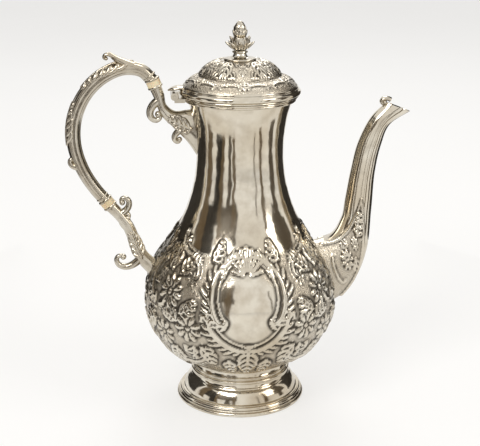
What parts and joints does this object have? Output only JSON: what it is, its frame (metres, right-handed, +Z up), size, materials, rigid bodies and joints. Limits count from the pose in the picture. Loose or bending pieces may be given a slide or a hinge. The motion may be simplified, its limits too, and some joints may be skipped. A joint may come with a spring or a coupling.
{
  "type": "silver coffee pot",
  "caption": "Pear-shaped chased silver coffee pot with a tall curved spout, scroll handle on insulators, stepped foot and a hinged domed lid with a bud finial.",
  "frame": {"origin": "centre of the foot on the table, half way between the spout's tip and the back of the handle", "axes": "+X toward the spout, -X toward the handle, +Z up"},
  "size_m": [0.2361, 0.135, 0.27],
  "materials": {
    "silver": "polished silver plate with dark tarnish in the chasing",
    "ivory": "ivory-coloured insulator, satin",
    "brass": "turned brass fixings under the lid"
  },
  "bodies": {
    "pot": {"body_shell": "silver", "mouth_rim": "silver", "foot_wire": "silver", "foot_ogee": "silver", "foot_collar": "silver", "spout": "silver", "spout_scroll": "silver", "upper_bracket": "silver", "upper_insulator": "ivory", "upper_pins": "silver", "handle_grip": "silver", "thumb_leaf": "silver", "lower_insulator": "ivory", "lower_pins": "silver", "lower_bracket": "silver", "hinge_base": "silver", "hinge_pin": "silver"},
    "lid": {"lid_rim": "silver", "lid_bezel": "silver", "lid_dome": "silver", "lid_hinge_leaf": "silver", "finial_base": "silver", "finial_calyx": "silver", "finial_bud": "silver", "finial_stud": "brass", "finial_washer": "brass", "finial_nut": "brass"}
  },
  "joints": [
    {"name": "lid_hinge", "type": "hinge", "parent": "pot", "child": "lid", "pos_m": [-0.0448, 0, 0.2205], "axis": [0, -1, 0], "range_deg": [0, 80]}
  ]
}
